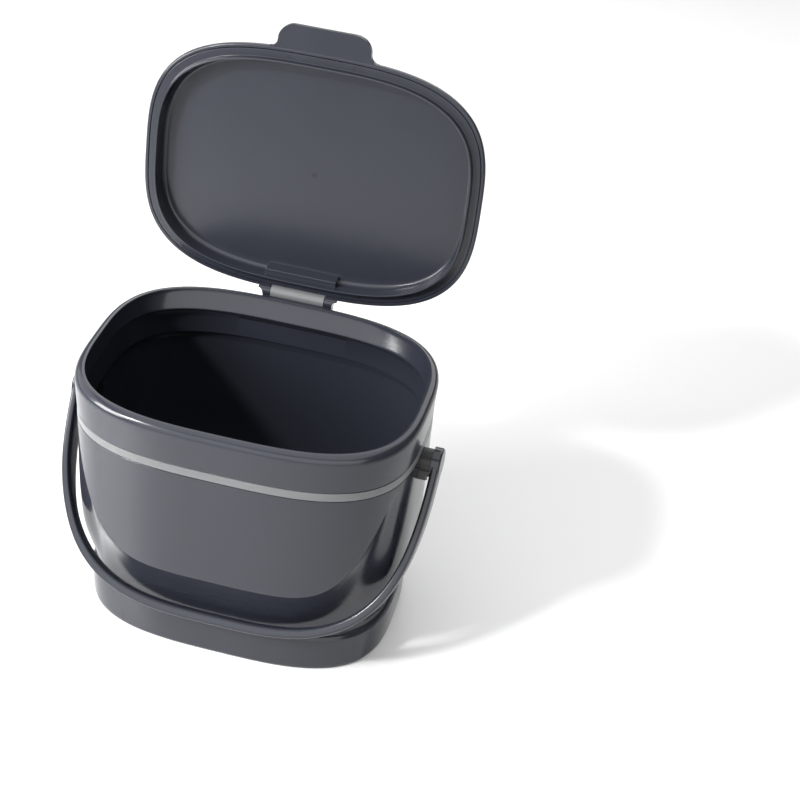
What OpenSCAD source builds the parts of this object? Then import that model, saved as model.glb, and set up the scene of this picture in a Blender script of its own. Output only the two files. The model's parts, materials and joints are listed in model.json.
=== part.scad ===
// Compost caddy with a hinged lid, a lift-off collar and a bail handle.
// Millimetres, +Z up, front towards -Y, origin at the middle of the underside.

/* [Plan] */
// Width of the bin at the joint between body and collar
bin_w = 190; // [176:1:204]
// Depth of the bin at the joint between body and collar
bin_d = 139.2; // [128:0.2:152]
// Squareness of the rounded plan, where 2 would be an ellipse
plan_power = 3.12; // [2.8:0.02:3.5]

/* [Bin body] */
// Height of the body up to the collar joint
body_h = 134.5; // [124:0.5:150]
// Thickness of the body wall
wall = 2.4; // [2:0.1:3]
// Thickness of the floor
floor_t = 2.8; // [2:0.1:4]
// Height of the waist, the narrowest place above the foot
waist_h = 28; // [26:0.5:34]
// How far the waist is drawn in from the top outline
waist_in = 8.3; // [6:0.1:10]
// Height of the foot's upper edge
foot_h = 24; // [18:0.5:25]
// How far the foot stands out from the waist
foot_out = 2.6; // [1.5:0.1:4]
// Height of the front panel's lower edge at the middle
panel_low = 59; // [50:0.5:70]
// Distance from the panel's upper corners to the side walls
panel_margin = 4.8; // [3:0.1:9]
// Power of the curve that the panel's lower edge follows
panel_power = 5.9; // [4:0.1:7]

/* [Accent band] */
// Height of the accent band
band_h = 5.2; // [4:0.1:7]
// Thickness of the accent band, and depth of its rebate
band_t = 1.4; // [1:0.1:1.6]
// Dark reveal above and below the band
reveal = 0.3; // [0.2:0.05:0.5]

/* [Collar] */
// Height of the collar above the joint
collar_h = 23; // [20:0.5:30]
// How far the collar leans out over its height
collar_lean = 0.9; // [0:0.1:2]
// Radius of the collar's rounded top edge
rim_r = 5; // [3:0.1:5.2]
// Width of the rim, from the outline to its inner edge
rim_w = 5.4; // [5.3:0.1:7]
// Width of the collar at its inner lip, at the front and sides
lip_w = 6; // [5.8:0.1:8]
// Width of the collar at its inner lip, at the back under the hinge
lip_back_w = 11.1; // [8:0.1:13]
// Depth of the inner lip below the rim
lip_drop = 10.5; // [8:0.5:13]
// Depth to which the collar's skirt plugs into the body
plug_h = 6; // [5:0.5:12]
// Thickness of the collar's skirt
plug_t = 1.6; // [1.2:0.1:1.7]
// Clearance round the collar's skirt
plug_gap = 0.3; // [0.2:0.05:0.4]

/* [Lid] */
// How far the lid's rim stands out past the bin's width, on each side
lid_over_w = 1.9; // [1:0.1:2.2]
// How far the lid's rim stands out past the bin's depth, front and back
lid_over_d = 1; // [0.6:0.1:1.6]
// Gap between the closed lid and the collar
lid_gap = 0.3; // [0.2:0.05:0.6]
// Height of the lid's crown above its underside
crown_h = 11.6; // [10.6:0.1:15]
// Thickness of the lid cover
cover_t = 2; // [1.6:0.1:2.4]
// Width of the cover's outer lip, up to the parting line
cover_lip = 2.1; // [1.8:0.1:2.6]
// Gap at the parting line between cover and liner
parting = 0.3; // [0.2:0.05:0.4]
// Thickness of the lid liner
liner_t = 1.8; // [1.4:0.1:2]
// Depth of the liner's recessed panel above its flange
recess_h = 7; // [6:0.1:7.4]
// Distance of the sealing skirt's outer face from the lid's outline
seal_in = 7.5; // [7.4:0.1:9]
// How far the sealing skirt reaches below the lid's underside
seal_h = 2.5; // [1.5:0.1:4]
// Thickness of the sealing skirt
seal_t = 1.2; // [1:0.1:1.6]
// Width of the lift tab
tab_w = 52; // [40:1:64]
// How far the lift tab reaches out in front of the lid
tab_l = 13.1; // [10:0.1:18]
// Thickness of the lift tab
tab_t = 3; // [2.4:0.1:3.6]
// Radius of the lift tab's outer corners
tab_r = 8; // [5:0.5:10]
// Radius of the hollow fillets at the lift tab's root
tab_fillet = 4.5; // [3:0.5:6]
// Width of the raised pad inside the liner, near the hinge
pad_w = 42; // [30:1:50]

/* [Hinge] */
// Distance of the hinge axis behind the collar joint
hinge_out = 2.54; // [2.4:0.02:3]
// Height of the hinge axis above the lid's underside
hinge_up = 0.75; // [0.5:0.05:1]
// Diameter of the hinge barrel
barrel_d = 7.6; // [7.4:0.1:7.8]
// Length of the hinge barrel
barrel_l = 31.6; // [26:0.2:40]
// Width of each hinge ear
ear_w = 4.9; // [4:0.1:7]
// Diameter of each hinge ear
ear_d = 7; // [6:0.1:7]
// Gap between the barrel and each ear
ear_gap = 0.3; // [0.2:0.05:0.5]
// Diameter of the hinge pin
hinge_pin_d = 3; // [2.4:0.1:3.4]
// Angle by which the lid stands open
lid_open = 99.07; // [90:0.01:105]

/* [Bail handle] */
// Distance of the handle's pivots below the collar joint
pivot_drop = 14.7; // [13.5:0.1:18]
// Place of the handle's pivots, front to back
pivot_y = -1.5; // [-6:0.1:4]
// Height of the resting bar above the waist
bar_up = 1.4; // [0:0.1:4]
// Distance of the resting bar's centre in front of the waist
bar_out = 6; // [5.6:0.1:9]
// Thickness of the arms, across the handle
arm_t = 5; // [4.6:0.1:5.1]
// Thickness of the bar at the middle of the handle
bar_t = 6; // [5:0.1:8]
// Front to back thickness of the bar
handle_t = 9.6; // [8:0.1:10]
// Front to back width of the arms at their pivots
strap_w = 17; // [14:0.5:17]
// Radius of the handle's long edges
handle_r = 2.2; // [1.2:0.1:2.4]
// Diameter of the round ends of the arms
hub_d = 17.6; // [17.4:0.1:19]
// Width of the round ends of the arms
hub_w = 5.1; // [5.1:0.1:6]
// Squareness of the handle's curve
handle_power = 3.16; // [2.8:0.02:3.4]
// Height above the pivots at which the handle's curve starts
handle_top = 17; // [12:0.5:22]

/* [Pivots] */
// How far each pivot block stands out of the side wall
block_out = 5.6; // [4.6:0.1:6.6]
// Depth to which each pivot block is let into the side wall
block_in = 0.8; // [0.5:0.1:1.2]
// Diameter of each pivot block
block_d = 14.4; // [12:0.2:15]
// Length of each pivot block's tail below the pivot
tail_l = 10.5; // [8:0.5:12]
// Width of each pivot block's tail
tail_w = 9; // [7:0.5:12]
// Height of the step on each pivot block's tail
tail_step = 1.4; // [0.5:0.1:2]
// Gap between each pivot block and the handle
block_gap = 0.3; // [0.2:0.05:0.6]
// Diameter of each pivot pin
pivot_pin_d = 5; // [4:0.1:6]
// Diameter of each pivot pin's head, inside the bin
pin_head_d = 8; // [7:0.5:9]
// Thickness of each pivot pin's head
pin_head_t = 1.2; // [0.8:0.1:1.6]
// Depth to which each pivot pin enters the handle
pin_reach = 3.3; // [2.4:0.1:3.5]
// Running clearance round every pin, on the radius
run_gap = 0.05; // [0.03:0.01:0.1]

/* [Hidden] */
$fn = 64;
ring_n = 96;
half_w = bin_w/2;
half_d = bin_d/2;

// Rebate that holds the accent band, and the thicker wall behind it
band_z = body_h - band_h - 2*reveal;
rim_in = band_t + wall;
thick_z = band_z - 2;
panel_top = band_z - 3;

// Collar and lid, stacked on the joint
collar_top = body_h + collar_h;
lid_z = collar_top + lid_gap;
lid_half_w = half_w + lid_over_w;
lid_half_d = half_d + lid_over_d;

// Hinge axis, across the back
hinge_y = half_d + hinge_out;
hinge_z = lid_z + hinge_up;
ear_x = barrel_l/2 + ear_gap;
notch_r = barrel_d/2 + 0.5;
saddle_l = 2*(ear_x + ear_w) - 1;

// Handle: the bar's resting place sets the handle's length and lean
pivot_z = body_h - pivot_drop;
rest_y = half_d - waist_in + bar_out + pivot_y;
rest_z = pivot_z - waist_h - bar_up;
bar_r = norm([rest_y, rest_z]);
handle_lean = atan2(rest_y, rest_z);
handle_reach = bar_r + bar_t/2;
block_x = half_w + block_out;
hub_x = block_x + block_gap;
handle_half_w = hub_x + hub_w + 0.1;
// Shares of the way down at which the arms start and stop narrowing to the bar
narrow_from = 0.3;
narrow_to = 0.7;

function signed_pow(v, p) = sign(v)*pow(abs(v), p);
function mix(a, b, k) = a + (b - a)*k;
function smooth(k) = let (c = min(1, max(0, k))) c*c*(3 - 2*c);

// A point of the rounded plan at angle t, for half sizes a and b
function plan_point(t, a, b) =
    [a*signed_pow(cos(t), 2/plan_power), b*signed_pow(sin(t), 2/plan_power)];
function angles() = [for (i = [0:ring_n - 1]) 360*i/ring_n];

// One level ring of the plan, with its own half depth at the front and at the back
function ring(a, front, back, z) =
    [for (t = angles()) let (p = plan_point(t, a, sin(t) < 0 ? front : back)) [p.x, p.y, z]];
function bin_ring(inset, z) = ring(half_w - inset, half_d - inset, half_d - inset, z);

// Skin over a stack of rings: closed at both ends, or joined end to end as a hoop
module skin(rings, hoop = false) {
    n = len(rings[0]);
    m = len(rings);
    points = [for (r = rings) each r];
    sides = [for (j = [0:m - (hoop ? 1 : 2)], i = [0:n - 1])
        let (j2 = (j + 1) % m, i2 = (i + 1) % n, a = j*n + i, b = j2*n + i, c = j2*n + i2, d = j*n + i2)
        each [[a, b, c], [a, c, d]]];
    bottom = [for (i = [0:n - 1]) i];
    top = [for (i = [n - 1:-1:0]) (m - 1)*n + i];
    polyhedron(points = points, faces = hoop ? sides : concat(sides, [bottom, top]), convexity = 8);
}

// ---- Bin body ----

// Height of the front panel's lower edge above the plan point p
function panel_edge(p) = p.y > 0 ? panel_top :
    min(panel_top, panel_low + (body_h - 2.5 - panel_low)*pow(abs(p.x)/(half_w - panel_margin), panel_power));
// The scoop starts at a crisp edge in front and fades in softly at the sides and back
function scoop_power(p) = mix(1, 4.7, smooth((p.y + 50)/35));
function scoop_in(p, z) =
    let (edge = panel_edge(p), k = min(1, max(0, (edge - z)/(edge - waist_h))))
    waist_in*pow(k, scoop_power(p));

// A ring that runs from the waist (k = 0) to the panel's edge (k = 1), and on to height top (k = 2)
function wall_ring(k, inset, top) = [for (t = angles())
    let (p = plan_point(t, half_w, half_d),
         edge = min(panel_edge(p), top - 2),
         z = k < 1 ? mix(waist_h, edge, k) : mix(edge, top, k - 1),
         q = plan_point(t, half_w - inset - scoop_in(p, z), half_d - inset - scoop_in(p, z)))
    [q.x, q.y, z]];

wall_steps = [0.05, 0.12, 0.22, 0.35, 0.5, 0.68, 0.85, 1];

module body_shell() {
    foot_in = waist_in - foot_out;
    foot = [[foot_in + 1.6, 0], [foot_in + 0.7, 0.8], [foot_in + 0.2, 4], [foot_in, foot_h*0.5],
            [foot_in + 0.1, foot_h - 3], [foot_in + 0.5, foot_h - 1.2], [foot_in + 1.4, foot_h],
            [waist_in, mix(foot_h, waist_h, 0.4)], [waist_in, waist_h]];
    bowl = [[waist_in + wall, waist_h], [waist_in + wall + 0.4, floor_t + 9],
            [waist_in + wall + 2, floor_t + 3.5], [waist_in + wall + 5.5, floor_t + 0.6],
            [waist_in + wall + 9, floor_t]];
    skin(concat(
        [for (f = foot) bin_ring(f[0], f[1])],
        [for (k = wall_steps) wall_ring(k, 0, band_z)],
        [wall_ring(1.5, 0, band_z), bin_ring(0, band_z)],
        [bin_ring(band_t, band_z), bin_ring(band_t, body_h)],
        [bin_ring(rim_in, body_h), bin_ring(rim_in, thick_z)],
        [wall_ring(2, wall, thick_z - 3)],
        [for (i = [len(wall_steps) - 1:-1:0]) wall_ring(wall_steps[i], wall, thick_z - 3)],
        [for (f = bowl) bin_ring(f[0], f[1])]));
}

module bin_body() {
    color([0.35, 0.36, 0.39]) difference() {
        body_shell();
        for (side = [-1, 1]) {
            at_pivot(side) translate([half_w - block_in, 0, 0]) block_outline(block_out);
            at_pivot(side) translate([half_w - 2*wall, 0, 0]) x_rod(pivot_pin_d, 2*wall + 1);
        }
    }
}

module accent_band() {
    color([0.8, 0.8, 0.82]) skin(hoop = true, [
        bin_ring(band_t, band_z + reveal),
        bin_ring(0.2, band_z + reveal),
        bin_ring(0, band_z + reveal + 0.3),
        bin_ring(0, body_h - reveal - 0.3),
        bin_ring(0.2, body_h - reveal),
        bin_ring(band_t, body_h - reveal)]);
}

// ---- Collar ----

// A ring of the collar: inset at the front and sides, inset at the back, height above the joint
function collar_ring(inset, back, up) =
    let (lean = collar_lean*max(0, up)/collar_h)
    ring(half_w + lean - inset, half_d + lean - inset, half_d + lean - back, body_h + up);

module collar_shell() {
    lip_up = collar_h - lip_drop;
    plug_in = rim_in + plug_gap;
    skin(hoop = true, concat(
        [collar_ring(0.5, 0.5, 0), collar_ring(0, 0, 0.6)],
        [for (t = [0:22.5:90]) let (r = rim_r*(1 - cos(t))) collar_ring(r, r, collar_h - rim_r*(1 - sin(t)))],
        [collar_ring(rim_w - 0.1, rim_w - 0.1, collar_h - 0.3), collar_ring(rim_w, rim_w, collar_h - 1.2)],
        [collar_ring(lip_w, lip_back_w, lip_up), collar_ring(lip_w, lip_back_w - 0.3, lip_up - 1)],
        [collar_ring(plug_in + plug_t, plug_in + plug_t, lip_up/2)],
        [collar_ring(plug_in + plug_t, plug_in + plug_t, -plug_h)],
        [collar_ring(plug_in + 0.3, plug_in + 0.3, -plug_h), collar_ring(plug_in, plug_in, 0.8 - plug_h)],
        [collar_ring(plug_in, plug_in, 0)]));
}

// Bracket behind the collar that cradles the hinge barrel, and clears the ears beside it
module saddle() {
    back = hinge_y + barrel_d/2 - 0.8;
    low = collar_top - 11;
    outline = [[half_d - 3, low], [half_d, low], [back, low + 5.5], [back, hinge_z - 1.6],
               [hinge_y, collar_top - 0.5], [half_d - 3, collar_top - 0.5]];
    translate([-saddle_l/2, 0, 0]) rotate([90, 0, 90]) linear_extrude(saddle_l) polygon(outline);
}

module collar() {
    color([0.33, 0.35, 0.38]) difference() {
        union() {
            collar_shell();
            saddle();
        }
        at_hinge() translate([-saddle_l/2 - 1, 0, 0]) x_rod(barrel_d, saddle_l + 2);
    }
}

// ---- Hinge ----

module at_hinge() {
    translate([0, hinge_y, hinge_z]) children();
}

// A round rod along +X from the origin
module x_rod(d, l) {
    rotate([0, 90, 0]) cylinder(d = d, h = l);
}

module hinge_barrel() {
    color([0.82, 0.82, 0.83]) at_hinge() difference() {
        translate([-barrel_l/2, 0, 0]) x_rod(barrel_d, barrel_l);
        translate([-barrel_l/2 - 1, 0, 0]) x_rod(hinge_pin_d, barrel_l + 2);
    }
}

module hinge_pin() {
    pin_l = 2*(ear_x + ear_w) - 0.6;
    color([0.7, 0.71, 0.73]) at_hinge() translate([-pin_l/2, 0, 0]) x_rod(hinge_pin_d, pin_l);
}

// ---- Lid, drawn closed and then turned open about the hinge axis ----

module opened() {
    at_hinge() rotate([-lid_open, 0, 0]) translate([0, -hinge_y, -hinge_z]) children();
}

// A ring of the lid: inset from the lid's outline, height above its underside
function lid_ring(inset, up) =
    ring(lid_half_w - inset, lid_half_d - inset, lid_half_d - inset, lid_z + up);

ledge_up = 1.8;

module cover_shell() {
    roof = crown_h - cover_t;
    skin([
        lid_ring(40, roof), lid_ring(16, roof - 0.1), lid_ring(9.6, roof - 0.9), lid_ring(6.2, roof - 2.4),
        lid_ring(4.4, roof - 4.8), lid_ring(cover_lip + 1.5, ledge_up), lid_ring(cover_lip, ledge_up),
        lid_ring(cover_lip, 0), lid_ring(0.9, 0), lid_ring(0.25, 0.45), lid_ring(0, 1.34),
        lid_ring(0.15, 3), lid_ring(0.6, 4.4), lid_ring(1.6, crown_h - 5.6), lid_ring(3.6, crown_h - 3.5),
        lid_ring(7, crown_h - 1.8), lid_ring(14, crown_h - 0.6), lid_ring(40, crown_h)]);
}

// Outline of one half of the lift tab, from its hollow root fillet to its outer corner
function tab_side() = let (w = tab_w/2, root = -lid_half_d + 0.6, tip = -lid_half_d - tab_l) concat(
    [for (t = [90:-15:0]) [w + tab_fillet - tab_fillet*cos(t), root - tab_fillet + tab_fillet*sin(t)]],
    [for (t = [0:-15:-90]) [w - tab_r + tab_r*cos(t), tip + tab_r + tab_r*sin(t)]]);

module lift_tab() {
    side = tab_side();
    back = 1 - lid_half_d;
    root_x = side[0].x;
    mirrored = [for (i = [len(side) - 1:-1:0]) [-side[i].x, side[i].y]];
    translate([0, 0, lid_z + 0.2]) linear_extrude(tab_t)
        polygon(concat([[root_x, back + 0.4]], side, mirrored, [[-root_x, back + 0.4]]));
}

module hinge_ear(side) {
    web_in = lid_half_d - cover_lip + 0.1;
    at = side > 0 ? ear_x : -ear_x - ear_w;
    at_hinge() translate([at, 0, 0]) x_rod(ear_d, ear_w);
    translate([at, web_in, hinge_z]) cube([ear_w, hinge_y - web_in, ear_d/2]);
}

// Room for the barrel and its saddle in the lid's back edge
module hinge_notch() {
    l = 2*ear_x;
    at_hinge() translate([-l/2, 0, 0]) x_rod(2*notch_r, l);
}

module lid_cover() {
    bore = hinge_pin_d + 2*run_gap;
    color([0.33, 0.35, 0.38]) opened() difference() {
        union() {
            cover_shell();
            lift_tab();
            hinge_ear(-1);
            hinge_ear(1);
        }
        hinge_notch();
        at_hinge() translate([-ear_x - ear_w - 1, 0, 0]) x_rod(bore, 2*(ear_x + ear_w + 1));
    }
}

module liner_shell() {
    flange_in = cover_lip + parting;
    wall_in = seal_in + seal_t;
    skin([
        lid_ring(wall_in + 6.1, recess_h), lid_ring(wall_in + 3.6, recess_h - 0.5),
        lid_ring(wall_in + 1.6, recess_h - 1.8), lid_ring(wall_in + 0.5, recess_h - 3.8),
        lid_ring(wall_in + 0.1, recess_h - 6), lid_ring(wall_in, 0.2 - seal_h),
        lid_ring(wall_in - 0.3, -seal_h), lid_ring(seal_in + 0.1, -seal_h), lid_ring(seal_in, 0.3 - seal_h),
        lid_ring(seal_in - 0.2, 0), lid_ring(flange_in, 0), lid_ring(flange_in, ledge_up),
        lid_ring(seal_in - 1.9, ledge_up), lid_ring(seal_in - 0.9, ledge_up + 1.2),
        lid_ring(seal_in + 0.3, recess_h - 1.2), lid_ring(seal_in + 2.2, recess_h + liner_t - 1),
        lid_ring(seal_in + 5, recess_h + liner_t - 0.1), lid_ring(wall_in + 6.1, recess_h + liner_t)]);
}

// Raised pad in the hollow of the liner, beside the hinge
module liner_pad() {
    pad_y = lid_half_d - seal_in - seal_t - 3.4;
    translate([-pad_w/2, pad_y, lid_z + 0.6]) cube([pad_w, 3.6, recess_h]);
}

module lid_liner() {
    color([0.31, 0.33, 0.36]) opened() difference() {
        union() {
            liner_shell();
            liner_pad();
        }
        hinge_notch();
    }
}

// ---- Bail handle, drawn hanging straight down and then leaned forward to its rest ----

module at_pivot(side) {
    translate([0, pivot_y, pivot_z]) rotate([-handle_lean, 0, 0]) mirror([side < 0 ? 1 : 0, 0, 0]) children();
}

// The handle's outer edge at angle t: across, and down from the pivot
function handle_edge(t) = [
    handle_half_w*signed_pow(cos(t), 2/handle_power),
    (handle_reach + handle_top)*signed_pow(sin(t), 2/handle_power) - handle_top];
// Direction square to that edge
function handle_normal(t) =
    let (p = handle_edge(t), deep = handle_reach + handle_top,
         g = [signed_pow(p[0]/handle_half_w, handle_power - 1)/handle_half_w,
              signed_pow((p[1] + handle_top)/deep, handle_power - 1)/deep])
    g/norm(g);

// Section of the handle: a rounded bar of thickness w, measured inwards from the outer edge, and depth d
function bar_section(w, d) = [for (c = [[0, 0], [1, 0], [1, 1], [0, 1]], k = [0:3])
    let (a = 180 + 90*(c[0] == 0 ? (c[1] == 0 ? 0 : 3) : (c[1] == 0 ? 1 : 2)) + 30*k)
    [mix(handle_r, w - handle_r, c[0]) + handle_r*cos(a),
     mix(handle_r, d - handle_r, c[1]) + handle_r*sin(a) - d/2]];

function handle_ring(t) =
    let (p = handle_edge(t), n = handle_normal(t),
         down = p[1]/handle_reach,
         w = mix(arm_t, bar_t, smooth((down - 0.6)/0.4)),
         d = mix(strap_w, handle_t, smooth((down - narrow_from)/(narrow_to - narrow_from))))
    [for (s = bar_section(w, d)) [p[0] - s[0]*n[0], s[1], -p[1] + s[0]*n[1]]];

// Angle on the curve at which the arm passes its pivot
start_t = asin(pow(handle_top/(handle_reach + handle_top), handle_power/2));
handle_steps = 56;

module bail_handle() {
    bore = pivot_pin_d + 2*run_gap;
    color([0.3, 0.31, 0.34]) difference() {
        union() {
            at_pivot(1) skin([for (i = [0:handle_steps]) handle_ring(mix(start_t, 180 - start_t, i/handle_steps))]);
            for (side = [-1, 1]) at_pivot(side) translate([hub_x, 0, 0]) hub();
        }
        for (side = [-1, 1]) at_pivot(side) translate([hub_x - 1, 0, 0]) x_rod(bore, pin_reach + 1.3);
    }
}

// Round end of an arm, with its outer edge bevelled
module hub() {
    bevel = 1.4;
    x_rod(hub_d, hub_w - bevel);
    translate([hub_w - bevel, 0, 0]) rotate([0, 90, 0]) cylinder(d1 = hub_d, d2 = hub_d - 2*bevel, h = bevel);
}

// ---- Pivots ----

// Outline of a pivot block, as a plate of thickness h along +X
module block_outline(h) {
    x_rod(block_d, h);
    translate([0, -tail_w/2, -tail_l]) cube([h, tail_w, tail_l]);
}

module pivot_block(side) {
    h = block_in + block_out;
    color([0.1, 0.1, 0.11]) at_pivot(side) translate([half_w - block_in, 0, 0]) difference() {
        block_outline(h);
        translate([-1, 0, 0]) x_rod(pivot_pin_d, h + 2);
        translate([h - tail_step, -tail_w, -tail_l - 1]) cube([tail_step + 1, 2*tail_w, 3.2]);
    }
}

module pivot_pin(side) {
    inner_x = half_w - wall;
    color([0.15, 0.15, 0.16]) at_pivot(side) {
        translate([inner_x, 0, 0]) x_rod(pivot_pin_d, hub_x + pin_reach - inner_x);
        translate([inner_x - pin_head_t, 0, 0]) x_rod(pin_head_d, pin_head_t);
    }
}

module pivot_block_left() pivot_block(-1);
module pivot_block_right() pivot_block(1);
module pivot_pin_left() pivot_pin(-1);
module pivot_pin_right() pivot_pin(1);

bin_body();
accent_band();
collar();
lid_cover();
lid_liner();
hinge_barrel();
hinge_pin();
bail_handle();
pivot_block_left();
pivot_block_right();
pivot_pin_left();
pivot_pin_right();
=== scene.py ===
import json
import math
import bpy
from mathutils import Matrix, Vector


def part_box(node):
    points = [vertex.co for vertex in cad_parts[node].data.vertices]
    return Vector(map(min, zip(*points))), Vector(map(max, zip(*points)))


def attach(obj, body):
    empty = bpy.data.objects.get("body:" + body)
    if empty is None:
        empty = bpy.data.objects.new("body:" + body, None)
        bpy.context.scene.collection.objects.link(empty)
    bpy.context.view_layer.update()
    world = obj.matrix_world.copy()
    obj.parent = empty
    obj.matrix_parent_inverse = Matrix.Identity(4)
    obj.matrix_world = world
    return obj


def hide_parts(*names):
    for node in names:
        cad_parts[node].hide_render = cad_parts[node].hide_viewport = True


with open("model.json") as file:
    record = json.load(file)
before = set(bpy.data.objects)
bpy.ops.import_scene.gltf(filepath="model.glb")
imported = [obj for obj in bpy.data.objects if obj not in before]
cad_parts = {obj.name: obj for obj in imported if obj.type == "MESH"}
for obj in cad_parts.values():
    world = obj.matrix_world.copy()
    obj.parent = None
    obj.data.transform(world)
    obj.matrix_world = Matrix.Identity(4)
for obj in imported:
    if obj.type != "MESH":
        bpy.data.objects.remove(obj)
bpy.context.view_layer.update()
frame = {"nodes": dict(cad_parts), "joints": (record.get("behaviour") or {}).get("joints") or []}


# ---- Bin body ----
# The real piece is one deep tub of glossy dark grey plastic, injection moulded and drawn up off its core.
# The front is a flat panel with a crisp U-shaped edge, and below it the wall is scooped in to the foot.

class Skin:
    """A skin drawn up ring by ring, in millimetres, from a circle pushed out to the rounded plan."""

    points = 224
    power = 3.12

    def __init__(self, name, half_w, half_d, inset, height, back=None):
        bpy.ops.object.select_all(action="DESELECT")
        bpy.ops.mesh.primitive_circle_add(vertices=self.points, radius=1)
        self.piece = bpy.context.object
        self.piece.name = self.piece.data.name = name
        self.half_w, self.half_d = half_w, half_d
        self.now = (half_w - inset, half_d - inset, half_d - (inset if back is None else back), height)
        for vertex in self.piece.data.vertices:
            vertex.co = self.on_plan(vertex.co, *self.now)
        bpy.ops.object.mode_set(mode="EDIT")
        bpy.ops.mesh.select_all(action="SELECT")

    def on_plan(self, direction, across, front, back, height):
        """The plan's point in a direction, at a given width, depth at front and at back, and height."""
        reach = (abs(direction.x) ** self.power + abs(direction.y) ** self.power) ** (-1 / self.power)
        depth = front if direction.y < 0 else back
        return Vector((direction.x * reach * across, direction.y * reach * depth, height))

    def ring(self, inset, height, back=None, lean=0):
        """Extrudes the last ring to a new height and inset. The back can have an inset of its own."""
        old = self.now
        back = inset if back is None else back
        half_w, half_d = self.half_w + lean, self.half_d + lean
        self.now = (half_w - inset, half_d - inset, half_d - back, height)
        bpy.ops.mesh.extrude_region_move(TRANSFORM_OT_translate={"value": (0, 0, height - old[3])})
        sizes = [new / was for new, was in zip(self.now[:3], old[:3])]
        if sizes[1] == sizes[2]:
            bpy.ops.transform.resize(value=(sizes[0], sizes[1], 1), center_override=(0, 0, 0))
        else:
            mesh = self.piece.data
            bpy.ops.object.mode_set(mode="OBJECT")
            for vertex in mesh.vertices:
                if vertex.select:
                    vertex.co.x *= sizes[0]
                    vertex.co.y *= sizes[1] if vertex.co.y < 0 else sizes[2]
            bpy.ops.object.mode_set(mode="EDIT")

    def rings(self, profile, **more):
        """Extrudes a ring for each inset and height of a profile."""
        for inset, height in profile:
            self.ring(inset, height, **more)

    def close(self, hoop=False):
        """Closes both ends with a face, or joins them into a hoop, and turns all faces outwards."""
        if hoop:
            bpy.ops.mesh.select_all(action="DESELECT")
            bpy.ops.mesh.select_non_manifold()
            bpy.ops.mesh.bridge_edge_loops()
        else:
            bpy.ops.mesh.edge_face_add()
            bpy.ops.mesh.select_all(action="DESELECT")
            bpy.ops.mesh.select_non_manifold()
            bpy.ops.mesh.edge_face_add()
        bpy.ops.mesh.select_all(action="SELECT")
        bpy.ops.mesh.normals_make_consistent(inside=False)
        bpy.ops.object.mode_set(mode="OBJECT")
        return self.piece


def faired(profile, steps=4):
    """The same profile with a smooth curve run through its points."""
    out = []
    for i in range(len(profile) - 1):
        a, b = Vector(profile[i]), Vector(profile[i + 1])
        before = Vector(profile[i - 1]) if i else a * 2 - b
        after = Vector(profile[i + 2]) if i + 2 < len(profile) else b * 2 - a
        for step in range(steps):
            t = step / steps
            out.append(tuple(0.5 * (2 * a + (b - before) * t + (2 * before - 5 * a + 4 * b - after) * t * t
                                    + (3 * a - before - 3 * b + after) * t ** 3)))
    return out + [tuple(profile[-1])]


def between(a, b, k):
    """The value that lies a share k of the way from a to b."""
    return a + (b - a) * k


def eased(k):
    """A share held between 0 and 1, made to start and end softly."""
    k = min(1, max(0, k))
    return k * k * (3 - 2 * k)


def select_only(piece):
    bpy.ops.object.select_all(action="DESELECT")
    piece.select_set(True)
    bpy.context.view_layer.objects.active = piece


def apply_modifier(piece, kind, **settings):
    select_only(piece)
    modifier = piece.modifiers.new(kind.title(), kind)
    for name, value in settings.items():
        setattr(modifier, name, value)
    bpy.ops.object.modifier_apply(modifier=modifier.name)


def finish_piece(piece, body, slot, material, *nodes, smooth=38):
    """Rounds the shading, brings the piece to metres, and puts it in place of its CAD nodes."""
    select_only(piece)
    bpy.ops.object.shade_smooth_by_angle(angle=math.radians(smooth))
    apply_modifier(piece, "WEIGHTED_NORMAL", keep_sharp=True, mode="FACE_AREA")
    piece.data.transform(Matrix.Scale(0.001, 4))
    piece.data.materials.clear()
    piece.data.materials.append(material)
    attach(piece, body)
    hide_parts(*nodes)


half_w, half_d, body_h = [size * 1000 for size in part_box("bin_body")[1]]
wall, floor_t = 2.4, 2.8
waist_h, waist_in = 28, 8.3
foot_h, foot_in = 24, 5.7
rebate, reveal = 1.4, 0.3           # how deep the band is seated, and the dark line left under it
band_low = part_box("accent_band")[0].z * 1000 - reveal
thick_low = band_low - 2            # the wall's inner face stands further in from here up
inner_top = thick_low - 3
panel_low, panel_top = 59, band_low - 3
panel_aim = body_h - 2.5            # the height that the edge makes for as it rises at the sides
panel_margin, panel_power = 4.8, 5.9
crease_from, crease_over = -36, 16  # y where the edge starts to turn crisp, and the distance that it takes
crease_power, crease_end, crease_round = 1.8, -46, 0.45
soft_from, soft_over = -60, 30      # y where it starts to turn soft round the corner, and the distance
soft_power = 6.5


def panel_edge(x, y):
    """Height of the front panel's U-shaped lower edge; round the sides and back it runs under the band."""
    if y > 0:
        return panel_top
    rise = (abs(x) / (half_w - panel_margin)) ** panel_power
    return min(panel_top, panel_low + (panel_aim - panel_low) * rise)


def scoop(x, y, z):
    """Depth of the scoop below that edge. It starts at once in front, and softly round the sides."""
    edge = panel_edge(x, y)
    k = min(1, max(0, (edge - z) / (edge - waist_h)))
    soft = k ** between(1, soft_power, eased((y - soft_from) / soft_over))
    crisp = 1 - (1 - k) ** crease_power
    return waist_in * between(soft, crisp, eased((crease_from - y) / crease_over))


def on_outline(point, inset=0):
    """Whether a point stands on the plan's outline, or on that outline moved inwards."""
    size = (half_w - inset, half_d - inset)
    return abs(sum(abs(point[i] / size[i]) ** Skin.power for i in (0, 1)) - 1) < 1e-3


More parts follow.
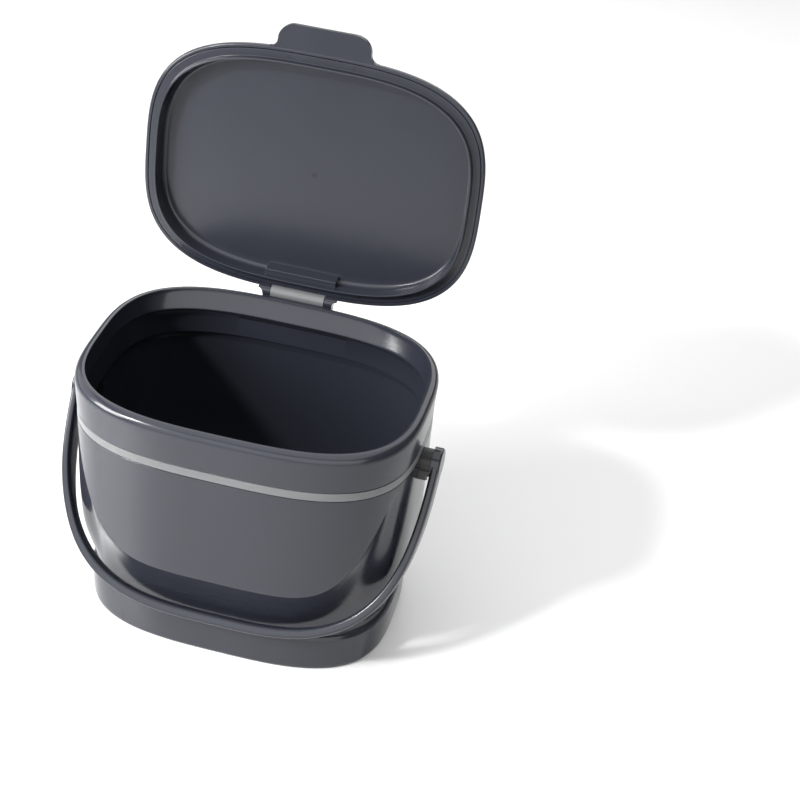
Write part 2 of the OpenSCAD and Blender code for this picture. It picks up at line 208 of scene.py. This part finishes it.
tub = Skin("tub", half_w, half_d, foot_in + 9, 0.9)
tub.rings([(foot_in + 8, 0.8), (foot_in + 7.2, 0.1), (foot_in + 6.9, 0), (foot_in + 1.6, 0),
           (foot_in + 1.1, 0.25), (foot_in + 0.7, 0.8), (foot_in + 0.4, 2), (foot_in + 0.2, 4)])
tub.rings(faired([(foot_in, foot_h * 0.5), (foot_in + 0.1, foot_h - 3), (foot_in + 0.4, foot_h - 1.6),
                  (foot_in + 1.1, foot_h - 0.3), (waist_in - 0.35, foot_h + 0.7), (waist_in, foot_h + 1.9),
                  (waist_in, waist_h)], 3))
wall_steps = [k / 20 for k in range(1, 20)] + [0.975, 1]
outer_heights = [between(waist_h, panel_top, k) for k in wall_steps]
tub.rings([(0, z) for z in outer_heights])
tub.rings([(0, band_low - 0.06), (0.06, band_low), (rebate, band_low), (rebate, body_h - 0.2),
           (rebate + 0.2, body_h), (rebate + wall - 0.3, body_h), (rebate + wall, body_h - 0.3),
           (rebate + wall, thick_low)])
inner_heights = [z - 0.01 for z in reversed(outer_heights)]
tub.rings([(wall, z) for z in inner_heights])
tub.rings(faired([(waist_in + wall, waist_h), (waist_in + wall + 0.15, floor_t + 17),
                  (waist_in + wall + 0.4, floor_t + 9), (waist_in + wall + 2, floor_t + 3.5),
                  (waist_in + wall + 5.5, floor_t + 0.6), (waist_in + wall + 9, floor_t)], 3))
shell = tub.close()

# The straight rings above the waist are drawn down to the panel's edge, inside and out, and scooped in
# below it.
for vertex in shell.data.vertices:
    for inset, heights in ((0, outer_heights), (wall, inner_heights)):
        nearest = min(heights, key=lambda z: abs(z - vertex.co.z))
        if on_outline(vertex.co, inset) and abs(nearest - vertex.co.z) < 1e-3:
            x, y = vertex.co.x / (half_w - inset) * half_w, vertex.co.y / (half_d - inset) * half_d
            k = wall_steps[min(range(len(wall_steps)), key=lambda i: abs(outer_heights[i] - nearest))]
            z = between(waist_h, min(panel_edge(x, y), inner_top if inset else panel_top), k)
            depth = inset + scoop(x, y, z)
            vertex.co = (x / half_w * (half_w - depth), y / half_d * (half_d - depth), z)
            break

# The panel's edge is crisp but not sharp: it is rounded over in front and fades out up the corners.
select_only(shell)
bpy.ops.object.mode_set(mode="EDIT")
bpy.ops.mesh.select_all(action="DESELECT")
bpy.ops.mesh.select_mode(type="EDGE")
bpy.ops.object.mode_set(mode="OBJECT")
for edge in shell.data.edges:
    ends = [shell.data.vertices[i].co for i in edge.vertices]
    edge.select = all(co.y < crease_end and abs(co.z - panel_edge(co.x, co.y)) < 0.02 and on_outline(co)
                      for co in ends)
bpy.ops.object.mode_set(mode="EDIT")
bpy.ops.mesh.bevel(offset=crease_round, segments=3, affect="EDGES")
bpy.ops.object.mode_set(mode="OBJECT")


class Value:
    """One output of a material's nodes. Sums on it add the Math nodes that they need."""

    def __init__(self, finish, socket):
        self.finish, self.socket = finish, socket

    def math(self, operation, first, second):
        return self.finish.node("ShaderNodeMath", {"operation": operation}, {0: first, 1: second})

    def __add__(self, other):
        return self.math("ADD", self, other)

    def __radd__(self, other):
        return self.math("ADD", other, self)

    def __sub__(self, other):
        return self.math("SUBTRACT", self, other)

    def __rsub__(self, other):
        return self.math("SUBTRACT", other, self)

    def __mul__(self, other):
        return self.math("MULTIPLY", self, other)

    def __rmul__(self, other):
        return self.math("MULTIPLY", other, self)

    def __gt__(self, other):
        return self.math("GREATER_THAN", self, other)


class Finish:
    """A material under construction: its shader, its object coordinates, and one way to add a node."""

    def __init__(self, name, **constants):
        self.material = bpy.data.materials.new(name)
        self.material.use_nodes = True
        self.tree = self.material.node_tree
        self.shader = self.tree.nodes["Principled BSDF"]
        for socket, value in constants.items():
            self.shader.inputs[socket.replace("_", " ")].default_value = value
        self.place = self.node("ShaderNodeTexCoord", {}, {}, "Object")

    def node(self, kind, settings, sockets, out=0):
        """Adds a node: its settings first, then the values or links of its sockets."""
        node = self.tree.nodes.new(kind)
        for name, value in settings.items():
            setattr(node, name, value)
        for name, value in sockets.items():
            if isinstance(value, Value):
                self.tree.links.new(value.socket, node.inputs[name])
            else:
                node.inputs[name].default_value = value
        return Value(self, node.outputs[out])

    def noise(self, scale, detail=2.0, place=None):
        return self.node("ShaderNodeTexNoise", {},
                         {"Vector": place or self.place, "Scale": scale, "Detail": detail})

    def stretched(self, x, y, z):
        return self.node("ShaderNodeMapping", {}, {"Vector": self.place, "Scale": (x, y, z)})

    def mixed(self, factor, first, second):
        return self.node("ShaderNodeMix", {"data_type": "RGBA"}, {0: factor, 6: first, 7: second}, 2)

    def feed(self, socket, value):
        self.tree.links.new(value.socket, self.shader.inputs[socket])

    def bump(self, height, strength, distance):
        """Gives the surface its fine relief, and hands over the material."""
        self.feed("Normal", self.node("ShaderNodeBump", {}, {
            "Height": height, "Strength": strength, "Distance": distance}))
        return self.material


def moulded(name, colour, rough, ripple=0.05, specks=0.35):
    """Polished moulded plastic: faint flow in its colour, a soft ripple, a little dust and handling."""
    finish = Finish(name, IOR=1.44)
    flow = finish.noise(14, 3.0, finish.stretched(1, 1, 0.35))
    dust = finish.noise(2600, 1.0) > 0.79
    darker = tuple(c * 0.9 for c in colour) + (1,)
    lighter = tuple(c * 1.12 for c in colour) + (1,)
    base = finish.mixed(0.95 - flow * 0.9, lighter, darker)
    speck = tuple(min(1, c * 1.5 + 0.02) for c in colour) + (1,)
    finish.feed("Base Color", finish.mixed(dust * specks, base, speck))
    handled = finish.noise(55, 4.0)
    finish.feed("Roughness", handled * 0.07 + flow * 0.05 + dust * 0.08 + (rough - 0.06))
    return finish.bump(finish.noise(420, 2.0) + finish.noise(60, 1.0) * 1.5, ripple, 0.0004)


dark_grey = moulded("dark_grey_plastic", (0.023, 0.0255, 0.035), 0.19)
finish_piece(shell, "bin", "dark_grey_plastic", dark_grey, "bin_body")


# ---- Accent band ----
# A thin light grey hoop of satin plastic, moulded on its own and snapped into the rebate round the rim,
# with a fine dark reveal left above and below it.

band_foot, band_top = band_low + reveal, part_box("accent_band")[1].z * 1000
band_round = 0.35
band = Skin("band", half_w, half_d, rebate, band_foot)
band.rings([(band_round, band_foot), (0.1, band_foot + 0.1), (0, band_foot + band_round),
            (0, band_top - band_round), (0.1, band_top - 0.1), (band_round, band_top), (rebate, band_top)])
light_grey = moulded("light_grey_plastic", (0.15, 0.155, 0.158), 0.3, ripple=0.03, specks=0.1)
finish_piece(band.close(hoop=True), "bin", "light_grey_plastic", light_grey, "accent_band")


# ---- Pivot blocks and pins ----
# A black block is let into each side wall and steps down under its boss, and a headed black pin
# goes through wall and block into the arm. Both are plain satin nylon, pressed in from inside.

joints = {joint["name"]: joint for joint in frame["joints"]}
pivot_y, pivot_z = [at * 1000 for at in joints["handle_pivot"]["pos_m"][1:]]
block_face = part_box("pivot_block_right")[1].x * 1000
block_r, block_lean = 7.2, math.radians(36.05)
block_sunk = 0.8                    # how deep the block is let into the wall
tail_w, tail_l = 9, 10.5
step_in, step_h = 1.4, 2.2
pin_hole_r, pin_hole_l = 2.5, 9
spare = 1                           # how far a cutter reaches past the piece that it cuts


def cut(piece, tool, operation="DIFFERENCE"):
    """Cuts the piece with a second solid, joins the two, or keeps what they share."""
    apply_modifier(piece, "BOOLEAN", operation=operation, object=tool, solver="EXACT")
    bpy.data.objects.remove(tool)


def rod(name, x, length, radius, y, z, sides=64):
    """A round rod along the width, from x to x + length."""
    bpy.ops.object.select_all(action="DESELECT")
    bpy.ops.mesh.primitive_cylinder_add(vertices=sides, radius=radius, depth=length,
                                        location=(x + length / 2, y, z), rotation=(0, math.pi / 2, 0))
    made = bpy.context.object
    made.name = made.data.name = name
    bpy.ops.object.transform_apply()
    return made


def brick(name, low, high):
    """A block between two opposite corners."""
    bpy.ops.object.select_all(action="DESELECT")
    bpy.ops.mesh.primitive_cube_add(size=1, location=[(a + b) / 2 for a, b in zip(low, high)],
                                    scale=[b - a for a, b in zip(low, high)])
    made = bpy.context.object
    made.name = made.data.name = name
    bpy.ops.object.transform_apply()
    return made


def turned(piece, angle, y, z):
    """Turns a piece about an axis that runs across the bin at y, z."""
    at = Matrix.Translation((0, y, z))
    piece.data.transform(at @ Matrix.Rotation(angle, 4, "X") @ at.inverted())
    return piece


def mirrored(piece, name):
    """A second piece with its own mesh, mirrored to the other side of the bin."""
    twin = piece.copy()
    twin.data = piece.data.copy()
    twin.name = twin.data.name = name
    bpy.context.scene.collection.objects.link(twin)
    twin.data.transform(Matrix.Scale(-1, 4, (1, 0, 0)))
    twin.data.flip_normals()
    return twin


black = moulded("black_plastic", (0.008, 0.008, 0.009), 0.36, ripple=0.1, specks=0.2)
block = rod("block_right", half_w - block_sunk, block_face - half_w + block_sunk, block_r, pivot_y, pivot_z)
cut(block, brick("tail", (half_w - block_sunk, pivot_y - tail_w / 2, pivot_z - tail_l),
                 (block_face, pivot_y + tail_w / 2, pivot_z)), "UNION")
cut(block, brick("step", (block_face - step_in, pivot_y - tail_w, pivot_z - tail_l - spare),
                 (block_face + spare, pivot_y + tail_w, pivot_z - tail_l + step_h)))
cut(block, rod("bore", half_w - 2 * spare, pin_hole_l, pin_hole_r, pivot_y, pivot_z))
apply_modifier(block, "BEVEL", width=0.45, segments=3, limit_method="ANGLE", angle_limit=math.radians(50))
turned(block, -block_lean, pivot_y, pivot_z)
finish_piece(mirrored(block, "block_left"), "bin", "black_plastic", black, "pivot_block_left")
finish_piece(block, "bin", "black_plastic", black, "pivot_block_right")
for node in ("pivot_pin_left", "pivot_pin_right"):
    frame["nodes"][node].data.materials.clear()
    frame["nodes"][node].data.materials.append(black)


# ---- Collar ----
# The deep rounded rim is its own moulding, in the tub's glossy plastic. It rests on the body, where a thin
# skirt inside keeps it in place, and lifts off. A bracket at its back carries the hinge.

collar_low, collar_high = [corner * 1000 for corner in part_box("collar")]
rim_h, rim_r, rim_w = 23, 5, 5.4
rim_lean = 0.9                      # how much further the rim stands out at its top
round_steps = 16
collar_top = body_h + rim_h
lip_w, lip_back, lip_up = 6, 10.2, 12.5
play = 0.3                          # left between pieces that move past each other
plug_in, plug_t = rebate + wall + play, 1.6
plug_low = collar_low.z
hinge_y, hinge_z = [at * 1000 for at in joints["lid_hinge"]["pos_m"][1:]]
barrel_low, barrel_high = [corner * 1000 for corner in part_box("hinge_barrel")]
barrel_r, barrel_half = (barrel_high.z - barrel_low.z) / 2, barrel_high.x


def leaning(up):
    """How far the collar's wall leans out at a height above the body."""
    return rim_lean * up / rim_h


def axle(name, half_length, radius, sides=64):
    """A round rod on the hinge's axis, centred on the bin."""
    return rod(name, -half_length, 2 * half_length, radius, hinge_y, hinge_z, sides)


def slab(corners, travel, rounded=()):
    """A plate with these corners, drawn out along its travel. Some corners can be rounded first."""
    bpy.ops.object.select_all(action="DESELECT")
    bpy.ops.mesh.primitive_circle_add(vertices=len(corners), radius=1, fill_type="NGON")
    made = bpy.context.object
    for vertex, corner in zip(made.data.vertices, corners):
        vertex.co = corner
    for places, radius, segments in rounded:
        bpy.ops.object.mode_set(mode="EDIT")
        bpy.ops.mesh.select_mode(type="VERT")
        bpy.ops.mesh.select_all(action="DESELECT")
        bpy.ops.object.mode_set(mode="OBJECT")
        for vertex in made.data.vertices:
            vertex.select = any((vertex.co - Vector(place)).length < 0.01 for place in places)
        bpy.ops.object.mode_set(mode="EDIT")
        bpy.ops.mesh.bevel(offset=radius, segments=segments, affect="VERTICES")
        bpy.ops.object.mode_set(mode="OBJECT")
    bpy.ops.object.mode_set(mode="EDIT")
    bpy.ops.mesh.select_all(action="SELECT")
    bpy.ops.mesh.extrude_region_move(TRANSFORM_OT_translate={"value": travel})
    bpy.ops.mesh.select_all(action="SELECT")
    bpy.ops.mesh.normals_make_consistent(inside=False)
    bpy.ops.object.mode_set(mode="OBJECT")
    return made


collar = Skin("collar_rim", half_w, half_d, 0.5, body_h)
collar.rings([(0.15, body_h + 0.2), (0, body_h + 0.6)])
for step in range(round_steps + 1):
    turn = math.radians(90 * step / round_steps)
    height = collar_top - rim_r * (1 - math.sin(turn))
    collar.ring(rim_r * (1 - math.cos(turn)), height, lean=leaning(height - body_h))
for inset, back, up in [(5.25, 5.25, 22.9), (5.38, 5.38, 22.6), (rim_w, rim_w + 0.1, 21.8), (5.5, 6, 20.4),
                        (5.7, 7.9, 16.8), (5.9, 9.6, 13.6), (lip_w, lip_back, lip_up),
                        (lip_w + 0.05, lip_back, lip_up - 0.5), (lip_w, lip_back - 0.3, lip_up - 1)]:
    collar.ring(inset, body_h + up, back=back, lean=leaning(up))
collar.ring(plug_in + plug_t, body_h + lip_up / 2, lean=leaning(lip_up / 2))
collar.rings([(plug_in + plug_t, plug_low + 0.3), (plug_in + plug_t - 0.2, plug_low),
              (plug_in + 0.3, plug_low), (plug_in, plug_low + 0.8), (plug_in, body_h)])
rim = collar.close(hoop=True)

# The hinge bracket: a wedge standing out at the back, rounded over and hollowed for the barrel.
saddle_half, saddle_in, saddle_back = barrel_half + 4.7, half_d - 3, collar_high.y
saddle_low, saddle_top = collar_top - 11, collar_top - 0.5
saddle = slab([(-saddle_half, y, z) for y, z in (
    (saddle_in, saddle_low), (half_d, saddle_low), (saddle_back, collar_top - 5.5),
    (saddle_back, hinge_z - 1.6), (hinge_y, saddle_top), (saddle_in, saddle_top))], (2 * saddle_half, 0, 0))
apply_modifier(saddle, "BEVEL", width=0.8, segments=3, limit_method="ANGLE", angle_limit=math.radians(25))
cut(rim, saddle, "UNION")
cut(rim, axle("seat", saddle_half + spare, barrel_r + 0.02))
finish_piece(rim, "collar_set", "dark_grey_plastic", dark_grey, "collar")


# ---- Hinge barrel and pin ----
# A light grey barrel lies in the bracket between the lid's two ears, and a drawn steel pin,
# pressed through it from the side, carries them.

pin_r = 1.5
barrel = axle("barrel", barrel_half, barrel_r, sides=96)
cut(barrel, axle("bore", barrel_half + spare, pin_r))
apply_modifier(barrel, "BEVEL", width=0.35, segments=3, limit_method="ANGLE", angle_limit=math.radians(50))
finish_piece(barrel, "collar_set", "light_grey_plastic", light_grey, "hinge_barrel")

steel = Finish("pin_steel", Metallic=1.0)
drawn = steel.noise(900, 3.0, steel.stretched(0.06, 1, 1))
steel.feed("Base Color", steel.mixed(drawn, (0.42, 0.43, 0.45, 1), (0.62, 0.63, 0.65, 1)))
steel.feed("Roughness", drawn * 0.2 + 0.2)
steel.bump(drawn, 0.15, 0.0002)
frame["nodes"]["hinge_pin"].data.materials.clear()
frame["nodes"]["hinge_pin"].data.materials.append(steel.material)


# ---- Lid liner ----
# The plate that closes the lid from below: a flat flange, a thin skirt that seals inside the collar,
# a hollow fillet and a recessed panel, with a low pad beside the hinge. It is moulded in the tub's plastic
# and welded in behind the lid's outer lip.

opened = -math.radians(joints["lid_hinge"]["range_deg"][1])
lid_low = collar_top + play
lid_half_w, lid_half_d = half_w + 1.9, half_d + 1
cover_lip, parting, ledge_up = 2.1, 0.3, 1.8
seal_in, seal_h, seal_t = 6.8, 3.4, 1
seal_back = seal_in + seal_t
recess_h, liner_t = 7, 1.8
pad_half, pad_deep, pad_up = 21, 3.6, 0.6
pad_y, pad_slope = lid_half_d - seal_back - 3.4, 1.8
mark_in, mark_r, mark_deep = 4.3, 1.1, 0.35


def notched(piece):
    """Clears the barrel and its bracket from a lid piece's back edge."""
    cut(piece, axle("notch", barrel_half + play, barrel_r + 0.5, sides=96))


def spots(piece, places, radius, low, high):
    """Small round marks that the mould leaves, sunk in at each place."""
    for x, y in places:
        bpy.ops.object.select_all(action="DESELECT")
        bpy.ops.mesh.primitive_cylinder_add(vertices=32, radius=radius, depth=high - low,
                                            location=(x, y, (low + high) / 2))
        mark = bpy.context.object
        bpy.ops.object.transform_apply()
        cut(piece, mark)


liner = Skin("lid_plate", lid_half_w, lid_half_d, seal_back + 2.8, lid_low + recess_h)
liner.rings([(inset, lid_low + up) for inset, up in faired([
    (seal_back + 2.3, recess_h - 0.05), (seal_back + 1.6, recess_h - 0.35),
    (seal_back + 0.8, recess_h - 1.4), (seal_back + 0.35, recess_h - 3.4),
    (seal_back + 0.1, recess_h - 6), (seal_back, 0.3 - seal_h)], 4)])
liner.rings([(inset, lid_low + up) for inset, up in [
    (seal_back - 0.08, 0.08 - seal_h), (seal_back - 0.3, -seal_h), (seal_in + 0.35, -seal_h),
    (seal_in + 0.1, 0.1 - seal_h), (seal_in, 0.4 - seal_h), (seal_in - 0.2, -0.3), (seal_in - 0.35, -0.08),
    (seal_in - 0.6, 0), (cover_lip + parting + 0.35, 0), (cover_lip + parting + 0.1, 0.1),
    (cover_lip + parting, 0.35), (cover_lip + parting, ledge_up), (seal_in - 1.9, ledge_up),
    (seal_in - 0.9, ledge_up + 1.2), (seal_in + 0.3, recess_h - 1.2),
    (seal_in + 2.2, recess_h + liner_t - 1), (seal_in + 5, recess_h + liner_t - 0.1),
    (seal_back + 6, recess_h + liner_t)]])
plate = liner.close()
pad = brick("pad", (-pad_half, pad_y, lid_low + pad_up),
            (pad_half, pad_y + pad_deep, lid_low + recess_h + pad_up))
for vertex in pad.data.vertices:
    if vertex.co.z > lid_low + recess_h and vertex.co.y < pad_y + pad_deep / 2:
        vertex.co.y -= pad_slope
apply_modifier(pad, "BEVEL", width=0.4, segments=3)
cut(plate, pad, "UNION")
notched(plate)
mark_w, mark_d = lid_half_w - mark_in, lid_half_d - mark_in
flange_marks = [liner.on_plan(Vector((side * x, y, 0)), mark_w, mark_d, mark_d, 0)
                for side in (-1, 1) for x, y in ((0.74, 0.83), (0.19, -0.98), (0.4, 1), (0.83, -0.69))]
spots(plate, [mark.xy for mark in flange_marks], mark_r, lid_low - spare, lid_low + mark_deep)
for gate_r, gate_low, gate_deep in ((1.7, -spare, 0.4), (0.7, -0.1, 0.9)):
    spots(plate, [(1, 0)], gate_r, lid_low + recess_h + gate_low, lid_low + recess_h + gate_deep)
turned(plate, opened, hinge_y, hinge_z)
finish_piece(plate, "lid", "dark_grey_plastic", dark_grey, "lid_liner")


# ---- Lid cover ----
# The lid's glossy outer shell: a low crown with a full round edge, a broad lift tab in front,
# and two hinge ears at the back that flare into its rim. One moulding, in the same plastic as the tub.

crown_h, cover_t = 11.5, 2
roof = crown_h - cover_t
cover = Skin("lid_shell", lid_half_w, lid_half_d, 40, lid_low + roof)
cover.rings([(inset, lid_low + up) for inset, up in [
    (16, roof - 0.1), (9.6, roof - 0.9), (6.2, roof - 2.4), (4.4, roof - 4.8), (cover_lip + 1.5, ledge_up),
    (cover_lip, ledge_up), (cover_lip, 0.2), (cover_lip - 0.2, 0), (1.1, 0), (0.85, 0.03), (0.55, 0.17),
    (0.25, 0.45), (0.08, 0.85), (0, 1.34)]])
cover.rings([(inset, lid_low + up) for inset, up in faired([
    (0.03, 2.2), (0.15, 3), (0.6, 4.4), (1.6, crown_h - 5.6), (3.6, crown_h - 3.5), (7, crown_h - 1.8),
    (14, crown_h - 0.62), (24, crown_h - 0.22), (38, crown_h - 0.06), (52, crown_h)], 4)])
top = cover.close()

tab_half, tab_l, tab_t, tab_r, tab_fillet = 26, 13.1, 3, 9, 4.5
root, tip, tab_z = 0.6 - lid_half_d, -lid_half_d - tab_l, lid_low + 0.2
tab = slab([(x, y, tab_z) for x, y in (
    (-tab_half - tab_fillet, root + 1), (-tab_half - tab_fillet, root), (-tab_half, root), (-tab_half, tip),
    (tab_half, tip), (tab_half, root), (tab_half + tab_fillet, root), (tab_half + tab_fillet, root + 1))],
    (0, 0, tab_t), [([(-tab_half, y, tab_z), (tab_half, y, tab_z)], radius, 10)
                    for y, radius in ((root, tab_fillet - 0.01), (tip, tab_r))])
apply_modifier(tab, "BEVEL", width=0.8, segments=4, limit_method="ANGLE", angle_limit=math.radians(60))
cut(top, tab, "UNION")

ear_x, ear_w, ear_r = barrel_half + play, 4.6, 3.5
ear_out, ear_back = ear_x + ear_w, hinge_y + ear_r
flare = 2.6                         # how much wider an ear is where it meets the rim
flare_out = ear_out + flare
rim_y = lid_half_d - 0.2
ear_root, web_root = 2.6, 2.1       # how deep an ear and its web are let into the rim
blank_h = 10                        # an ear is cut from a blank of this height
blank_z = hinge_z - blank_h / 2
for side in (-1, 1):
    ear = slab([(side * x, y, blank_z) for x, y in (
        (ear_x, rim_y - ear_root), (flare_out, rim_y - ear_root), (flare_out, rim_y), (ear_out, rim_y),
        (ear_out, ear_back), (ear_x, ear_back))],
        (0, 0, blank_h), [([(side * ear_out, rim_y, blank_z)], flare - 0.01, 8)])
    start = ear_x if side > 0 else -flare_out - spare
    knuckle_l = ear_w + flare + spare
    knuckle = rod("knuckle", start, knuckle_l, ear_r, hinge_y, hinge_z, sides=96)
    cut(knuckle, brick("web", (start, rim_y - web_root, hinge_z),
                       (start + knuckle_l, hinge_y, hinge_z + ear_r)), "UNION")
    cut(ear, knuckle, "INTERSECT")
    apply_modifier(ear, "BEVEL", width=0.5, segments=3, limit_method="ANGLE", angle_limit=math.radians(60))
    cut(top, ear, "UNION")
notched(top)
cut(top, axle("bore", ear_out + 6, pin_r + 0.05))
turned(top, opened, hinge_y, hinge_z)
finish_piece(top, "lid", "dark_grey_plastic", dark_grey, "lid_cover")


# ---- Bail handle ----
# One U-shaped bar of dark plastic: its arms are broad, thin, springy straps that narrow to a thicker grip.
# Their round ends snap over the pins, and at rest it lies forward with its bar in the waist.

bail_half_w = (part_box("bail_handle")[1] * 1000).x
hub_low, hub_w = block_face + play, 5.1
hub_r, hub_bevel = 8.8, 1.4
bore_deep, bore_r = 3.6, 2.55
bail_power, bail_top = 3.16, 17     # the arch's power, and how far above the pivots it would be widest
section_power = 3.8
strap_w, bar_w = 17, 9.6
narrow_from, narrow_to = 0.3, 0.7   # shares of the way down from the pivots to the bar
arm_t, bar_t = 5, 6
thicken_from, thicken_over = 0.6, 0.4
bar_out, bar_up = 5.94, 1.4         # how far the middle of the bar lies in front of the waist, and above it
rest_y, rest_z = half_d - waist_in + bar_out + pivot_y, pivot_z - waist_h - bar_up
bail_reach = math.hypot(rest_y, rest_z) + bar_t / 2
start_turn = math.asin((bail_top / (bail_reach + bail_top)) ** (bail_power / 2))
bail_steps = 144

bpy.ops.object.select_all(action="DESELECT")
bpy.ops.mesh.primitive_circle_add(vertices=48, radius=1, fill_type="NGON")
bail = bpy.context.object
bail.name = bail.data.name = "bail"
bpy.ops.object.mode_set(mode="EDIT")
bpy.ops.mesh.select_all(action="SELECT")
for step in range(bail_steps):
    bpy.ops.mesh.extrude_region_move(TRANSFORM_OT_translate={"value": (0, 0, 1)})
bpy.ops.mesh.select_all(action="SELECT")
bpy.ops.mesh.normals_make_consistent(inside=False)
bpy.ops.object.mode_set(mode="OBJECT")


def powered(value, power):
    """A power that keeps the value's sign."""
    return math.copysign(abs(value) ** power, value)


# The straight bar is given its crowned section and bent along the handle's curve.
for vertex in bail.data.vertices:
    turn = between(start_turn, math.pi - start_turn, vertex.co.z / bail_steps)
    deep = bail_reach + bail_top
    edge_x = bail_half_w * powered(math.cos(turn), 2 / bail_power)
    edge_down = deep * powered(math.sin(turn), 2 / bail_power) - bail_top
    out_x = powered(edge_x / bail_half_w, bail_power - 1) / bail_half_w
    out_down = powered((edge_down + bail_top) / deep, bail_power - 1) / deep
    size = math.hypot(out_x, out_down)
    share = edge_down / bail_reach
    thick = between(arm_t, bar_t, eased((share - thicken_from) / thicken_over))
    deep_w = between(strap_w, bar_w, eased((share - narrow_from) / (narrow_to - narrow_from)))
    fullness = sum(abs(vertex.co[i]) ** section_power for i in (0, 1)) ** (-1 / section_power)
    inwards = thick / 2 * (1 - vertex.co.x * fullness)
    aside = deep_w / 2 * vertex.co.y * fullness
    vertex.co = (edge_x - inwards * out_x / size, pivot_y + aside,
                 pivot_z - edge_down + inwards * out_down / size)
for side in (-1, 1):
    hub = rod("hub", hub_low if side > 0 else -hub_low - hub_w, hub_w, hub_r, pivot_y, pivot_z, sides=96)
    bpy.ops.object.mode_set(mode="EDIT")
    bpy.ops.mesh.select_mode(type="FACE")
    bpy.ops.mesh.select_all(action="DESELECT")
    bpy.ops.object.mode_set(mode="OBJECT")
    for face in hub.data.polygons:
        face.select = face.normal.x * side > 0.9
    bpy.ops.object.mode_set(mode="EDIT")
    bpy.ops.mesh.bevel(offset=hub_bevel, segments=5, affect="EDGES")
    bpy.ops.object.mode_set(mode="OBJECT")
    cut(bail, hub, "UNION")
    bore_x = hub_low - spare if side > 0 else -hub_low - bore_deep
    cut(bail, rod("bore", bore_x, bore_deep + spare, bore_r, pivot_y, pivot_z))
turned(bail, -math.atan2(rest_y, rest_z), pivot_y, pivot_z)
finish_piece(bail, "handle", "dark_grey_plastic", dark_grey, "bail_handle")


# ---- Floor, lights and camera ----
# A plain pale floor under a small crisp key light from the front left, a broad soft panel overhead and a
# little one beside the object. The walls of light round it show only in the gloss of the plastic.

bpy.ops.object.select_all(action="DESELECT")
bpy.ops.mesh.primitive_plane_add(size=8)
floor = bpy.context.object
floor.name = floor.data.name = "floor"
paper = Finish("floor_paper", Roughness=0.35, Emission_Strength=0.1)
paper.shader.inputs["Emission Color"].default_value = (1, 1, 1, 1)
paper.feed("Base Color", paper.mixed(paper.noise(3, 1.0), (0.86, 0.86, 0.86, 1), (0.9, 0.9, 0.9, 1)))
floor.data.materials.append(paper.material)


def soft_light(name, place, aim, width, height, power, gloss_only=False):
    """A rectangle of light that the camera doesn't see. A gloss-only one is there to be mirrored."""
    bpy.ops.object.select_all(action="DESELECT")
    bpy.ops.object.light_add(type="AREA", location=place)
    light = bpy.context.object
    light.name = light.data.name = name
    light.data.shape = "RECTANGLE"
    light.data.size, light.data.size_y = width, height
    light.data.energy = power
    light.visible_camera = False
    light.visible_diffuse = not gloss_only
    light.rotation_euler = (Vector(aim) - Vector(place)).to_track_quat("-Z", "Y").to_euler()


centre = Vector((0, 0, 0.12))
soft_light("key", centre + 3 * Vector((-0.54, -0.55, 0.64)), centre, 0.27, 0.27, 60)
soft_light("left_panel", (-0.6, -0.4, 0.45), (-0.24, -0.2, 0), 0.35, 0.35, 9)
soft_light("top_panel", (0, 0.1, 2.0), (0, 0.1, 0), 2.4, 2.2, 30)
soft_light("front_wall", (0.2, -1.7, 0.95), (0, 0, 0.1), 3.4, 1.7, 40, gloss_only=True)
soft_light("left_wall", (-1.9, 0.3, 1.1), (0, 0, 0.1), 2.0, 1.6, 18, gloss_only=True)
soft_light("back_wall", (0, 1.9, 1.5), (0, 0, 0.1), 3.4, 2.0, 50, gloss_only=True)
room = bpy.data.worlds.new("white_room")
bpy.context.scene.world = room
room.use_nodes = True
background = room.node_tree.nodes["Background"]
background.inputs["Color"].default_value = (1, 1, 1, 1)
background.inputs["Strength"].default_value = 0.2

# The camera's lens, axes and place are fitted to the outlines in the photograph.
camera = bpy.data.objects.new("camera", bpy.data.cameras.new("camera"))
bpy.context.scene.collection.objects.link(camera)
camera.data.lens = 75.69
camera.data.sensor_width = 36
camera.data.clip_end = 20
across, up, back = ((0.96663, 0.24116, 0.08648), (-0.21153, 0.56086, 0.80043), (0.14453, -0.79201, 0.59315))
place = (0.20880, -0.71281, 0.68900)
camera.matrix_world = Matrix([(across[i], up[i], back[i], place[i]) for i in range(3)] + [(0, 0, 0, 1)])
bpy.context.scene.camera = camera
bpy.context.scene.view_settings.view_transform = "Standard"
